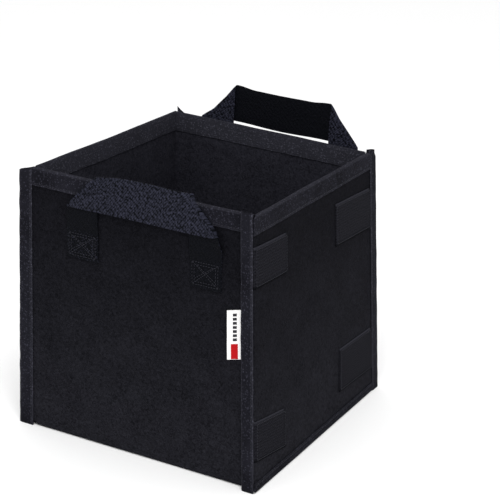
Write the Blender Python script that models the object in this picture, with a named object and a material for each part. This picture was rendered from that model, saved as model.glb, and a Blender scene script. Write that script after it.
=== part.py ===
"""Square fabric grow bag: felt panels, bound seams, webbing handles and hook-and-loop patches.

Metres, +Z up. The origin is the middle of the underside; the front wall faces -Y.
Every piece is first drawn on an upright square pattern and then leans in with the walls.
"""
import math

import bmesh
import bpy
from mathutils import Vector

# --- driving dimensions -------------------------------------------------------------------
WIDTH = 0.254            # outside, square, measured at the ground
HEIGHT = 0.270           # ground to the top of the rim
TAPER = 0.040            # share of the width that the walls lose from ground to rim
FELT = 0.0020            # needle-punched wall cloth
TAPE = 0.0008            # binding tape, one layer
WEB = 0.0016             # handle webbing
PATCH = 0.0016           # hook-and-loop tape
LABEL = 0.0006           # woven side label
GAP = 0.0003             # air between two pieces that touch

FOLD_RADIUS = 0.005      # the crease where the long panel turns from wall to base
RIM_OUTSIDE = 0.0175     # how far the rim binding comes down outside
RIM_INSIDE = 0.0200      # and inside
SEAM_WIDTH = 0.0150      # how far a bound corner seam stands off its corner
SEAM_RISE = 0.0025       # a corner binding stands this much above the rim
BASE_BAND = 0.0100       # height of the base binding on the side walls
BASE_UPSTAND = 0.0090    # the base's side edges turn up to this height inside the walls
ARC_STEPS = 6            # facets in a half turn

WEB_WIDTH = 0.037        # webbing sold as 1.5 inch
STITCH_BOX = 0.0265      # height of a handle's sewn end
FLIP_RADIUS = 0.0010     # bend at a handle's diagonal fold
PROUD_OF_RIM = 0.0023    # a loop's distance from the wall, where it clears the rim binding
LEG_RISE = 0.010         # height over which a loop's leg comes out to that distance

# handle: left edge, right edge, foot of the sewn end, height of the lower edge, outward lean
FRONT_HANDLE = (-0.0838, 0.0945, 0.1905, 0.2390, 0.0)
BACK_HANDLE = (-0.0870, 0.1100, 0.2125, 0.2685, 6.0)

# patch: front end, back end, height of its middle, its height, slope in degrees
RIGHT_PATCHES = {
    "right_patch_front_top": (-0.1260, -0.0658, 0.2200, 0.0392, -2.4),
    "right_patch_back_top": (0.0410, 0.1262, 0.2126, 0.0440, -2.8),
    "right_patch_front_bottom": (-0.1255, -0.0712, 0.0473, 0.0410, -9.0),
    "right_patch_back_bottom": (0.0475, 0.1262, 0.0535, 0.0485, -2.5),
}
LEFT_PATCHES = {
    "left_patch_front_top": (-0.1200, -0.0600, 0.2150, 0.041, 0.0),
    "left_patch_back_top": (0.0460, 0.1262, 0.2100, 0.044, 0.0),
    "left_patch_front_bottom": (-0.1200, -0.0600, 0.0450, 0.041, 0.0),
    "left_patch_back_bottom": (0.0460, 0.1262, 0.0505, 0.044, 0.0),
}

LABEL_WIDTH = 0.016
LABEL_BOTTOM = 0.1262
LABEL_TOP = 0.1758
LABEL_ROOT = 0.0008      # clear space between the corner binding and the label's hinge

# --- worked out from them -----------------------------------------------------------------
HALF = WIDTH / 2
SINGLE = 2 * TAPE + 2 * GAP + FELT            # a tape folded round one felt edge
DOUBLE = 2 * TAPE + 3 * GAP + 2 * FELT        # and round two
PANEL_TOP = HEIGHT - SINGLE / 2
SIDE_FOOT = SINGLE / 2                        # a side wall stands inside its base binding
PANEL_EDGE = HALF - FELT - GAP                # side edge of the long panel
LAPPED_FACE = HALF + 3 * GAP + 2 * TAPE + FELT    # outer face of an edge lapped over a wall
SEAM_TOP = HEIGHT + SEAM_RISE
EARLY = (0, 2 / 3)       # parts of a tape's fold over which its end is cut on a slant
LATE = (1 / 3, 1)

X = Vector((1, 0, 0))
Y = Vector((0, 1, 0))
Z = Vector((0, 0, 1))

# colour, roughness, metallic
FELT_LOOK = ("black_felt", (0.012, 0.012, 0.014, 1), 0.95, 0.0)
TAPE_LOOK = ("binding_tape", (0.020, 0.019, 0.022, 1), 0.90, 0.0)
WEB_LOOK = ("handle_webbing", (0.013, 0.013, 0.022, 1), 0.60, 0.0)
PATCH_LOOK = ("hook_and_loop", (0.018, 0.018, 0.020, 1), 0.80, 0.0)
LABEL_LOOK = ("woven_label", (0.86, 0.86, 0.86, 1), 0.60, 0.0)


def clear_scene():
    """Start from an empty scene."""
    for item in list(bpy.data.objects):
        bpy.data.objects.remove(item, do_unlink=True)


def material(look):
    """The Principled material of one look, made once."""
    name, colour, roughness, metallic = look
    found = bpy.data.materials.get(name)
    if found:
        return found
    made = bpy.data.materials.new(name)
    made.use_nodes = True
    shader = made.node_tree.nodes["Principled BSDF"]
    shader.inputs["Base Color"].default_value = colour
    shader.inputs["Roughness"].default_value = roughness
    shader.inputs["Metallic"].default_value = metallic
    return made


def lean(point):
    """Move a point of the upright pattern in towards the middle, as the walls lean."""
    drawn_in = 1 - TAPER * point[2] / HEIGHT
    return Vector((point[0] * drawn_in, point[1] * drawn_in, point[2]))


def place_part(name, bm, look, hinge=None, turn=0.0):
    """Turn an upright mesh into a leaning, named object; a moving one has its origin on its hinge."""
    origin = hinge or Vector((0, 0, 0))
    for vert in bm.verts:
        vert.co = lean(vert.co) - origin
    bmesh.ops.recalc_face_normals(bm, faces=bm.faces)
    mesh = bpy.data.meshes.new(name)
    bm.to_mesh(mesh)
    bm.free()
    mesh.materials.append(material(look))
    part = bpy.data.objects.new(name, mesh)
    part.location = origin
    part.rotation_euler = (turn, 0, 0)
    bpy.context.collection.objects.link(part)
    return part


def loft(rings):
    """A closed body through rings of points, capped at both ends."""
    bm = bmesh.new()
    loops = [[bm.verts.new(point) for point in ring] for ring in rings]
    bm.faces.new(loops[0])
    bm.faces.new(loops[-1])
    for near, far in zip(loops, loops[1:]):
        for i, vert in enumerate(near):
            j = (i + 1) % len(near)
            bm.faces.new((vert, near[j], far[j], far[i]))
    return bm


def offset_path(path, depth):
    """A flat path moved sideways by depth, left of its direction, with mitred corners."""
    moved = []
    for i, (a, b) in enumerate(path):
        normals = []
        for p, q in ((i - 1, i), (i, i + 1)):
            if p >= 0 and q < len(path):
                run = Vector(path[q]) - Vector(path[p])
                normals.append(Vector((-run.y, run.x)).normalized())
        mean = sum(normals, Vector((0, 0))).normalized()
        reach = depth / mean.dot(normals[0])
        moved.append((a + mean.x * reach, b + mean.y * reach))
    return moved


def ribbon(path, depth, spans, centre, along, across, span):
    """A strip of cloth with one face on a flat path, depth thick, between two edges."""
    if isinstance(spans, tuple):
        spans = [spans] * len(path)

    def at(flat, edge):
        return centre + along * flat[0] + across * flat[1] + span * edge

    rings = []
    for face, back, (low, high) in zip(path, offset_path(path, depth), spans):
        rings.append((at(face, low), at(face, high), at(back, high), at(back, low)))
    return loft(rings)


def arc(centre, radius, start, end, steps):
    """Points on an arc, both ends included; angles in degrees."""
    turns = [math.radians(start + (end - start) * i / steps) for i in range(steps + 1)]
    return [(centre[0] + radius * math.cos(t), centre[1] + radius * math.sin(t)) for t in turns]


def folded_tape(name, thickness, legs, spans, centre, along, across, span, cuts=(LATE, LATE)):
    """Binding tape folded round an edge: up the outer leg, round the fold, down the inner leg.

    centre is the middle of the fold, along points to the fold and across to the outer leg.
    spans gives the tape's two ends on the outer leg and on the inner leg; cuts are the parts
    of the fold over which each end runs from one to the other.
    """
    half = thickness / 2
    outer_leg, inner_leg = legs
    path = [(-outer_leg, half)] + arc((0, 0), half, 90, -90, ARC_STEPS) + [(-inner_leg, -half)]
    outer, inner = spans
    ends = [outer]
    for i in range(ARC_STEPS + 1):
        shares = [(i / ARC_STEPS - start) / (stop - start) for start, stop in cuts]
        ends.append(tuple(a + (b - a) * min(max(share, 0), 1)
                          for a, b, share in zip(outer, inner, shares)))
    ends.append(inner)
    place_part(name, ribbon(path, -TAPE, ends, centre, along, across, span), TAPE_LOOK)


def pull_faces(bm, chosen, vector):
    """Extrude the chosen faces of a body by a vector."""
    grown = bmesh.ops.extrude_face_region(bm, geom=chosen)
    fresh = [item for item in grown["geom"] if isinstance(item, bmesh.types.BMVert)]
    bmesh.ops.translate(bm, verts=fresh, vec=vector)
    bmesh.ops.delete(bm, geom=chosen, context="FACES")


def main_panel():
    """One long panel: front wall, base and back wall, with its seam edges."""
    inset = HALF - FOLD_RADIUS
    crease = FOLD_RADIUS
    path = [(-HALF, PANEL_TOP)]
    path += arc((-inset, crease), FOLD_RADIUS, 180, 270, ARC_STEPS // 2)
    path += arc((inset, crease), FOLD_RADIUS, 270, 360, ARC_STEPS // 2)
    path += [(HALF, PANEL_TOP)]
    rings = []
    for face, back in zip(path, offset_path(path, FELT)):
        on_base = face[1] == min(point[1] for point in path)
        edge = PANEL_EDGE - (TAPE + GAP if on_base else 0)
        strip = edge - FELT
        outer = [Vector((x, *face)) for x in (-edge, strip, edge)]
        inner = [Vector((x, *back)) for x in (edge, strip, -strip, -edge)]
        rings.append(outer + inner)
    bm = loft(rings)
    bmesh.ops.recalc_face_normals(bm, faces=bm.faces)

    def faces(test):
        return [face for face in bm.faces if test(face.calc_center_median(), face.normal)]

    seam_edge = HALF + SEAM_WIDTH - DOUBLE / 2
    front_edge = faces(lambda c, n: n.x < -0.9 and c.y < -inset and c.z > crease)
    pull_faces(bm, front_edge, -X * (seam_edge - PANEL_EDGE))
    back_edge = faces(lambda c, n: n.y > 0.9 and c.y > inset and c.x > HALF / 2 and c.z > crease)
    pull_faces(bm, back_edge, Y * (seam_edge - HALF))
    base_edges = faces(lambda c, n: n.z > 0.9 and abs(c.x) > HALF / 2 and abs(c.y) < HALF / 2)
    pull_faces(bm, base_edges, Z * (BASE_UPSTAND - FELT))
    place_part("main_panel", bm, FELT_LOOK)


def side_panels():
    """The two side walls; each wraps one corner and joins a standing seam at the other."""
    seam_edge = HALF + SEAM_WIDTH - DOUBLE / 2
    lap_edge = HALF - SEAM_WIDTH + SINGLE / 2
    turned = HALF - 2 * FELT - GAP
    right = [(lap_edge, -LAPPED_FACE), (HALF, -LAPPED_FACE), (HALF, seam_edge)]
    left = [(-seam_edge, -turned), (-HALF, -turned), (-HALF, LAPPED_FACE), (-lap_edge, LAPPED_FACE)]
    heights = (SIDE_FOOT, PANEL_TOP)
    origin = Vector((0, 0, 0))
    place_part("right_side_panel", ribbon(right, FELT, heights, origin, X, Y, Z), FELT_LOOK)
    place_part("left_side_panel", ribbon(left, -FELT, heights, origin, X, Y, Z), FELT_LOOK)


def rim_bindings():
    """Tape folded over the top edge of each wall, its ends cut to meet at the corners."""
    legs = (RIM_OUTSIDE - SINGLE / 2, RIM_INSIDE - SINGLE / 2)
    inside = PANEL_EDGE
    stop = inside - TAPE - GAP                    # short of the neighbour's inner leg
    corner = HALF - GAP / 2
    lapped = LAPPED_FACE - GAP
    beside_seam = PANEL_EDGE - FELT - 2 * GAP - TAPE - GAP
    plans = {
        "front_rim_binding": (-Y, X, (-corner, inside), (-inside, inside), (LATE, LATE)),
        "back_rim_binding": (Y, X, (-inside, beside_seam), (-inside, inside), (LATE, LATE)),
        "left_rim_binding": (-X, Y, (-beside_seam, lapped), (-stop, stop), (LATE, EARLY)),
        "right_rim_binding": (X, Y, (-lapped, corner), (-stop, stop), (EARLY, EARLY)),
    }
    for name, (outward, span, outer, inner, cuts) in plans.items():
        centre = outward * (HALF - FELT / 2) + Z * PANEL_TOP
        folded_tape(name, SINGLE, legs, (outer, inner), centre, Z, outward, span, cuts)


def corner_bindings():
    """Tape folded round the free edge of each corner seam, from the ground to above the rim."""
    heights = ((0.0, SEAM_TOP), (0.0, SEAM_TOP))
    reach = HALF + SEAM_WIDTH - DOUBLE / 2
    middle = HALF + TAPE + GAP - DOUBLE / 2
    legs = (reach - HALF - GAP, reach - HALF - GAP)
    folded_tape("front_left_corner_binding", DOUBLE, legs, heights,
                -X * reach - Y * middle, -X, -Y, Z)
    folded_tape("back_right_corner_binding", DOUBLE, legs, heights,
                Y * reach + X * middle, Y, X, Z)
    lap = HALF - SEAM_WIDTH + SINGLE / 2
    middle = LAPPED_FACE + TAPE + GAP - SINGLE / 2
    legs = (HALF - GAP - lap, PANEL_EDGE - GAP - lap)
    folded_tape("front_right_corner_binding", SINGLE, legs, heights,
                X * lap - Y * middle, -X, -Y, Z)
    folded_tape("back_left_corner_binding", SINGLE, legs, heights,
                -X * lap + Y * middle, X, Y, Z)


def base_bindings():
    """Tape folded round the foot of each side wall, its inner leg against the base's upstand."""
    legs = (BASE_BAND - SINGLE / 2, BASE_UPSTAND - SINGLE / 2)
    corner = HALF - GAP
    lapped = LAPPED_FACE - GAP
    beside_seam = PANEL_EDGE - FELT - 2 * GAP - TAPE - GAP
    stop = HALF - FOLD_RADIUS - GAP
    for side, outward, outer in (("right", X, (-lapped, corner)), ("left", -X, (-beside_seam, lapped))):
        centre = outward * (HALF - FELT / 2) + Z * SIDE_FOOT
        folded_tape(f"{side}_base_binding", SINGLE, legs, (outer, (-stop, stop)),
                    centre, -Z, outward, Y, (EARLY, EARLY))


def handle_stations(left, right, foot, fold):
    """Cross-lines of a handle's loop: two edge points and the face direction, left leg to right.

    Points are (sideways, off the wall, height). The strap stands up, folds over itself on a
    diagonal, runs across as the grip and comes down the same way.
    """
    start = foot + STITCH_BOX + GAP
    flat = GAP + WEB / 2
    face = Vector((0, 1, 0))
    width = Vector((WEB_WIDTH, 0, 0))
    stations = [
        (Vector((left, flat, start)), Vector((left, flat, start)) + width, face),
        (Vector((left, PROUD_OF_RIM, start + LEG_RISE)),
         Vector((left, PROUD_OF_RIM, start + LEG_RISE)) + width, face),
    ]
    low = Vector((left, PROUD_OF_RIM, fold))
    high = low + Vector((WEB_WIDTH, 0, WEB_WIDTH))
    diagonal = Vector((1, 0, 1)).normalized()
    upward = Vector((-1, 0, 1)).normalized()
    for i in range(ARC_STEPS + 1):
        turn = math.pi * i / ARC_STEPS
        slide = diagonal * (FLIP_RADIUS * turn) + upward * (FLIP_RADIUS * math.sin(turn))
        slide += face * (FLIP_RADIUS * (1 - math.cos(turn)))
        normal = face * math.cos(turn) - upward * math.sin(turn)
        stations.append((low + slide, high + slide, normal))
    top = stations[-1][1]
    mirrored = []
    for one, two, normal in reversed(stations):
        flipped = [Vector((left + right - p.x, p.y, p.z)) for p in (one, two)]
        mirrored.append((*flipped, Vector((-normal.x, normal.y, normal.z))))
    bottom = stations[-1][0]
    middle = (Vector((top.x, top.y, bottom.z)), top, -face)
    across = (Vector((left + right - top.x, top.y, bottom.z)),
              Vector((left + right - top.x, top.y, top.z)), -face)
    return stations + [middle, across] + mirrored


def handle(side, outward, sizes):
    """One webbing handle: two sewn ends on the wall and the loop that swings between them."""
    left, right, foot, fold, lean_out = sizes
    origin = outward * HALF

    def on_wall(point):
        return origin + X * point[0] + outward * point[1] + Z * point[2]

    for name, low in (("left", left), ("right", right - WEB_WIDTH)):
        rings = []
        for height in (foot, foot + STITCH_BOX):
            corners = ((low, GAP), (low + WEB_WIDTH, GAP), (low + WEB_WIDTH, GAP + WEB), (low, GAP + WEB))
            rings.append([on_wall((a, b, height)) for a, b in corners])
        place_part(f"{side}_handle_{name}_end", loft(rings), WEB_LOOK)

    rings = []
    for one, two, normal in handle_stations(left, right, foot, fold):
        step = normal * (WEB / 2)
        rings.append([on_wall(p) for p in (one + step, two + step, two - step, one - step)])
    hinge = lean(on_wall((0, 1.5 * GAP + WEB, foot + STITCH_BOX + GAP / 2)))
    turn = math.radians(lean_out) * (1 if outward.y < 0 else -1)
    place_part(f"{side}_handle_loop", loft(rings), WEB_LOOK, hinge, turn)


def patches(outward, plans):
    """Hook-and-loop patches on a side wall, each a flat rectangle sewn on at its slope."""
    for name, (front, back, height, tall, slope) in plans.items():
        middle = Vector(((front + back) / 2, height))
        rise = math.tan(math.radians(slope))
        outline = []
        for end, edge in ((front, -1), (back, -1), (back, 1), (front, 1)):
            outline.append((end, middle.y + (end - middle.x) * rise + edge * tall / 2))
        rings = []
        for off in (GAP, GAP + PATCH):
            rings.append([outward * (HALF + off) + Y * y + Z * z for y, z in outline])
        place_part(name, loft(rings), PATCH_LOOK)


def side_label():
    """The woven label caught in the front right seam; it flaps about its sewn edge."""
    root = HALF - SEAM_WIDTH - LABEL_ROOT
    free = root - LABEL_WIDTH
    rings = []
    for height in (LABEL_BOTTOM, LABEL_TOP):
        corners = ((free, GAP), (root - GAP, GAP), (root - GAP, GAP + LABEL), (free, GAP + LABEL))
        rings.append([Vector((x, -HALF - off, height)) for x, off in corners])
    hinge = lean((root, -HALF - GAP - LABEL / 2, LABEL_BOTTOM))
    place_part("side_label", loft(rings), LABEL_LOOK, hinge)


clear_scene()
main_panel()
side_panels()
rim_bindings()
corner_bindings()
base_bindings()
handle("front", -Y, FRONT_HANDLE)
handle("back", Y, BACK_HANDLE)
patches(X, RIGHT_PATCHES)
patches(-X, LEFT_PATCHES)
side_label()
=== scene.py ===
"""Looks of the square fabric grow bag, drawn around its packed frame.

Metres, +Z up, the front wall faces -Y. Every sewn piece is drawn on an upright square pattern,
then settle() moves it to where the standing bag has it, so that layers keep their places.
"""

import math

import bmesh
import bpy
from mathutils import Matrix, Vector, noise


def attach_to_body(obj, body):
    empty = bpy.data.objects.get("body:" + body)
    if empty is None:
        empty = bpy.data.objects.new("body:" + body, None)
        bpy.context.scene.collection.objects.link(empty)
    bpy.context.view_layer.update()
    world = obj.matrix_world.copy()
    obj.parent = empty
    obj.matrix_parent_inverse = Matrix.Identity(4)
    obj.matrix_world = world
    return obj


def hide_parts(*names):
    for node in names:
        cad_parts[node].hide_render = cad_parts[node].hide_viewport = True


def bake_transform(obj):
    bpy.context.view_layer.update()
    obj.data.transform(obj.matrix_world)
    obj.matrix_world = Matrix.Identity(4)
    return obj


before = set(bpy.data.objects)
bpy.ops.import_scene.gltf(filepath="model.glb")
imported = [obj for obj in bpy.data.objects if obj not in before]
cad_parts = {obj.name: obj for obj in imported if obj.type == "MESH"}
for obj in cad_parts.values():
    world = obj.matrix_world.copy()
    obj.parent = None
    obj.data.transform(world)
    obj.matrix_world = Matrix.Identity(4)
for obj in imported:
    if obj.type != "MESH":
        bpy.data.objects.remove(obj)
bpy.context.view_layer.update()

bl_info = {
    "name": "Fabric Grow Bag",
    "version": (1, 0, 0),
    "blender": (4, 5, 0),
    "location": "View3D > Sidebar > Grow Bag",
    "description": "Sews a square felt grow bag: walls, bindings, handles, patches and tab",
    "category": "Add Mesh",
}

X = Vector((1, 0, 0))
Y = Vector((0, 1, 0))
Z = Vector((0, 0, 1))
MM = 0.001
EARLY = (0, 2 / 3)       # parts of a tape's fold over which its end is cut on a slant
LATE = (1 / 3, 1)

# handle: left edge, right edge, foot of the sewn end, height of the lower edge, outward lean
HANDLES = {
    "front": (-0.0838, 0.0945, 0.1905, 0.2390, 0.0),
    "back": (-0.0870, 0.1100, 0.2125, 0.2685, 6.0),
}

# places where a loop is tugged out of line: sideways, height, reach, then the tug (x, out, z)
TUGS = {
    "front": (
        (-0.044, 0.278, 0.022, 0.0, 0.0, -0.0022),
        (0.0565, 0.2790, 0.012, 0.0050, -0.0005, 0.0010),
        (0.0945, 0.2400, 0.014, -0.0020, 0.0055, 0.0036),
        (0.0960, 0.2030, 0.042, -0.0036, 0.0, 0.0),
        (0.0050, 0.2790, 0.045, 0.0, -0.0025, 0.0),
    ),
    "back": (
        (-0.088, 0.262, 0.022, -0.0080, 0.0, 0.0),
        (-0.047, 0.308, 0.022, 0.0, 0.0, 0.0022),
        (0.070, 0.308, 0.022, 0.0015, 0.0, 0.0022),
        (0.012, 0.271, 0.050, 0.0, 0.0, -0.0015),
    ),
}

# patch: front end, back end, height of its middle, its height, slope in degrees
PATCHES = {
    "right_patch_front_top": (-0.1308, -0.0658, 0.2200, 0.0392, -2.4),
    "right_patch_back_top": (0.0410, 0.1262, 0.2126, 0.0440, -2.8),
    "right_patch_front_bottom": (-0.1308, -0.0712, 0.0473, 0.0410, -9.0),
    "right_patch_back_bottom": (0.0475, 0.1262, 0.0535, 0.0485, -2.5),
    "left_patch_front_top": (-0.1200, -0.0600, 0.2150, 0.041, 0.0),
    "left_patch_back_top": (0.0460, 0.1262, 0.2100, 0.044, 0.0),
    "left_patch_front_bottom": (-0.1200, -0.0600, 0.0450, 0.041, 0.0),
    "left_patch_back_bottom": (0.0460, 0.1262, 0.0505, 0.044, 0.0),
}

# how far each corner of the sewn bag stands off the pattern: (east, north, top) to (x, y, z) in mm
CORNER_EASE = {
    (-1, -1, 1): (0.2, -1.0, 3.2),
    (1, -1, 1): (2.2, -0.2, -0.4),
    (1, 1, 1): (-4.3, -2.5, -3.1),
    (-1, 1, 1): (2.4, 1.4, 5.0),
    (-1, -1, 0): (-0.7, -1.0, 0.0),
    (1, -1, 0): (6.0, 0.2, 0.0),
    (1, 1, 0): (1.9, 1.1, 0.0),
}


def linear(code, alpha=1.0):
    """An sRGB hex colour as linear red, green, blue and alpha."""
    out = []
    for shift in (16, 8, 0):
        part = ((code >> shift) & 255) / 255
        out.append(part / 12.92 if part <= 0.04045 else ((part + 0.055) / 1.055) ** 2.4)
    return (*out, alpha)


def length_property(name, description, default):
    return bpy.props.FloatProperty(name=name, description=description, default=default,
                                   unit="LENGTH", precision=4)


def colour_property(name, description, code):
    return bpy.props.FloatVectorProperty(name=name, description=description, size=4, min=0, max=1,
                                         subtype="COLOR", default=linear(code))


class GrowBagSizes(bpy.types.PropertyGroup):
    """Sizes of the cut pieces."""

    width: length_property("Width", "Outside width of the square bag at the ground", 0.254)
    height: length_property("Height", "Ground to the top of the rim", 0.270)
    taper: bpy.props.FloatProperty(name="Taper", default=0.040, subtype="FACTOR",
                                   description="Share of the width the walls lose up to the rim")
    felt: length_property("Felt", "Thickness of the wall felt", 0.0020)
    tape: length_property("Tape", "Thickness of the binding tape", 0.0008)
    webbing: length_property("Webbing", "Thickness of the handle webbing", 0.0016)
    webbing_width: length_property("Webbing width", "Width of the handle webbing", 0.037)
    sewn_end: length_property("Sewn end", "Height of a handle's sewn end", 0.0265)
    patch: length_property("Patch", "Thickness of the hook-and-loop tape", 0.0016)
    gap: length_property("Gap", "Air between two layers", 0.0003)
    seam_width: length_property("Seam width", "How far a bound corner seam stands out", 0.015)
    lap_width: length_property("Lap width", "Width of a bound seam that is folded flat", 0.0132)
    seam_rise: length_property("Seam rise", "Height of a seam's tape above the rim", 0.0025)
    rim_outside: length_property("Rim outside", "Depth of the rim tape outside", 0.0175)
    rim_inside: length_property("Rim inside", "Depth of the rim tape inside", 0.0200)
    base_band: length_property("Base band", "Height of the base tape outside", 0.0100)
    base_upstand: length_property("Base upstand", "Height of the base's turned-up edge", 0.0090)
    ripple: length_property("Ripple", "How far the walls wander from flat", 0.0011)
    bulge: length_property("Bulge", "How far the walls belly out half way up", 0.0008)


class GrowBagStitching(bpy.types.PropertyGroup):
    """Sizes of the sewing."""

    pitch: length_property("Pitch", "Length of one stitch with its gap", 0.0032)
    stitch: length_property("Stitch", "Visible length of one stitch", 0.0023)
    thread: length_property("Thread", "Half the thickness of the thread", 0.00030)
    seat: length_property("Seat", "Distance of a seam from the edge of its tape", 0.0022)
    edge_wander: length_property("Edge wander", "Waviness of a tape's cut edge", 0.0005)


class GrowBagColours(bpy.types.PropertyGroup):
    """Colours of the cloths and threads."""

    felt_dark: colour_property("Felt shade", "Felt between its fibres", 0x040406)
    felt_light: colour_property("Felt fibre", "Raised felt fibres", 0x18181D)
    # Painted light: the felt's fibres turn towards this paler colour near the foot.
    painted_foot_light: colour_property("Dust", "Pale dust caught low down in the felt", 0x29292F)
    # Painted light: the inside colours are lighter than the outer felt's, standing in for light inside
    # the bag.
    inside_gap_painted_lighter: colour_property("Inner shade", "Hairy inner face between its fibres", 0x0D0D12)
    inside_fibre_painted_lighter: colour_property("Inner fibre", "Fibres of the hairy inner face", 0x32323A)
    tape_dark: colour_property("Tape shade", "Binding tape between its fibres", 0x040406)
    tape_light: colour_property("Tape fibre", "Raised fibres of the binding tape", 0x35353F)
    # Also the colour of painted highlights along tape folds and on the patches' top edges.
    raw_edge_and_highlight: colour_property("Raw edge", "Fluffed cut edge of the tape", 0x4E4E58)
    # Also painted as shadow along the lower and back edges of the patches.
    web_dark: colour_property("Webbing gaps", "Shade between the yarns", 0x040508)
    web_face: colour_property("Webbing face", "Yarns on the dark face of the webbing", 0x0D0E13)
    # Also painted as highlights on the yarn tops of the handles' sewn ends.
    web_light: colour_property("Webbing back", "Yarns on the bluish back of the webbing", 0x2F303D)
    patch_dark: colour_property("Patch ground", "Ground of the hook-and-loop tape", 0x0A0A0D)
    patch_light: colour_property("Patch loops", "Loops of the hook-and-loop tape", 0x222228)
    thread: colour_property("Thread", "Sewing thread", 0x2B2B33)
    tab: colour_property("Tab", "Woven side tab", 0xF2F1F0)
    tab_block: colour_property("Tab block", "Coloured block on the tab", 0xB80810)
    tab_marks: colour_property("Tab marks", "Plain marks on the tab", 0x141418)
    floor: colour_property("Floor", "Studio floor", 0xFAFAFA)


class GrowBagStage(bpy.types.PropertyGroup):
    """The studio's camera and lights."""

    azimuth: bpy.props.FloatProperty(name="Azimuth", default=math.radians(29.92), subtype="ANGLE",
                                     description="Turn of the camera from the front wall")
    elevation: bpy.props.FloatProperty(name="Elevation", default=math.radians(20.11), subtype="ANGLE",
                                       description="Height of the camera above the level")
    roll: bpy.props.FloatProperty(name="Roll", default=math.radians(0.97), subtype="ANGLE",
                                  description="Tilt of the camera about its own axis")
    distance: length_property("Distance", "Camera to the middle of the bag", 1.4781)
    aim_height: length_property("Aim height", "Height of the point the camera circles", 0.135)
    aside: length_property("Aside", "Camera's step to its right", 0.0428)
    above: length_property("Above", "Camera's step upwards", 0.0377)
    lens: bpy.props.FloatProperty(name="Lens", default=104.7, unit="CAMERA",
                                  description="Focal length on a 36 mm sensor")
    key_power: bpy.props.FloatProperty(name="Key light", default=20.0, unit="POWER",
                                       description="Power of the high softbox over the camera")
    fill_power: bpy.props.FloatProperty(name="Fill light", default=0.6, unit="POWER",
                                        description="Power of the softbox on the right")
    sky: bpy.props.FloatProperty(name="Sky", default=0.97, description="Brightness all around")


def sizes():
    return bpy.context.scene.grow_bag


def stitching():
    return bpy.context.scene.grow_bag_stitching


# --- the pattern --------------------------------------------------------------------------
def half_width():
    return sizes().width / 2


def single():
    """Thickness of a tape folded round one layer of felt."""
    s = sizes()
    return 2 * s.tape + 2 * s.gap + s.felt


def double():
    """Thickness of a tape folded round two layers of felt."""
    s = sizes()
    return 2 * s.tape + 3 * s.gap + 2 * s.felt


def panel_top():
    return sizes().height - single() / 2


def panel_edge():
    """Side edge of the long panel."""
    return half_width() - sizes().felt - sizes().gap


def lapped_face():
    """Outer face of a seam edge that is folded flat over the next wall."""
    s = sizes()
    return half_width() + 3 * s.gap + 2 * s.tape + s.felt


def seam_edge():
    """Edge of the felt inside a standing seam."""
    return half_width() + sizes().seam_width - double() / 2


def lap_edge():
    """Edge of the felt inside a seam that is folded flat."""
    return half_width() - sizes().lap_width + single() / 2


def clamp(value, low=0.0, high=1.0):
    return max(low, min(high, value))


def ease(low, high, value):
    """0 below low, 1 above high, smooth between."""
    share = clamp((value - low) / (high - low))
    return share * share * (3 - 2 * share)


def wander(x, y=0.0, z=0.0):
    """Smooth chance between -1 and 1, always the same at the same place."""
    return noise.noise(Vector((x, y, z)))


def settle(point):
    """Moves a point of the upright pattern to where the sewn, standing bag has it."""
    s = sizes()
    half = half_width()
    x, y, z = point
    rise = z / s.height
    east = clamp(x / half, -1.1, 1.1)
    north = clamp(y / half, -1.1, 1.1)
    up = clamp(rise)
    off_ground = 0.25 + 0.75 * ease(0, 0.06, z)
    belly = s.bulge * math.sin(math.pi * up)
    side_edge = math.cos(math.pi / 2 * min(abs(north), 1))
    front_edge = math.cos(math.pi / 2 * min(abs(east), 1))
    push_x = east * side_edge * (belly + s.ripple * off_ground * wander(x * 7 + 3, y * 13, z * 13))
    push_y = north * front_edge * (belly + s.ripple * off_ground * wander(x * 13, y * 7 + 9, z * 13))
    lean = 1 - s.taper * rise
    moved = Vector((x * lean + push_x, y * lean + push_y, z))
    moved.z += 0.0008 * up * up * wander(x * 11, y * 11, 5.0)
    for (e, n, top), shift in CORNER_EASE.items():
        share = (1 + e * clamp(east, -1, 1)) / 2 * (1 + n * clamp(north, -1, 1)) / 2
        share *= up if top else 1 - up
        moved += Vector(shift) * (share * MM)
    at_top = ease(0.225, 0.270, z)
    out_left = max(0.0, -half - x) * ease(0.85, 1.0, -north)
    out_back = max(0.0, y - half) * ease(0.85, 1.0, east)
    moved.x -= out_left * (0.23 - 0.10 * up)
    moved.z -= (out_left + out_back) * 0.2 * at_top
    return moved


def spaced(low, high, step):
    """Values from low to high, about step apart."""
    count = max(1, round(abs(high - low) / step))
    return [low + (high - low) * i / count for i in range(count + 1)]


def bent_line(corners, radii, step):
    """(point, left normal, length) along a flat line with square, rounded bends."""
    spots = []
    reached = 0.0
    last = None

    def add(place, normal):
        nonlocal reached, last
        if last is not None:
            reached += (place - last).length
            if (place - last).length < step / 50:
                return
        last = place
        spots.append((place.copy(), normal.copy(), reached))

    trims = [0.0] + list(radii) + [0.0]
    for i in range(len(corners) - 1):
        here, there = Vector(corners[i]), Vector(corners[i + 1])
        run = (there - here).normalized()
        normal = Vector((-run.y, run.x))
        first, final = here + run * trims[i], there - run * trims[i + 1]
        for share in spaced(0, 1, step / max((final - first).length, step)):
            add(first.lerp(final, share), normal)
        if i + 2 < len(corners):
            onward = (Vector(corners[i + 2]) - there).normalized()
            turned = Vector((-onward.y, onward.x))
            side = 1 if run.x * onward.y - run.y * onward.x > 0 else -1
            centre = final + normal * (side * trims[i + 1])
            for k in range(1, 6):
                angle = math.pi / 2 * k / 6
                blend = normal * math.cos(angle) + turned * math.sin(angle)
                add(centre - blend * (side * trims[i + 1]), blend)
    return spots


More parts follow.
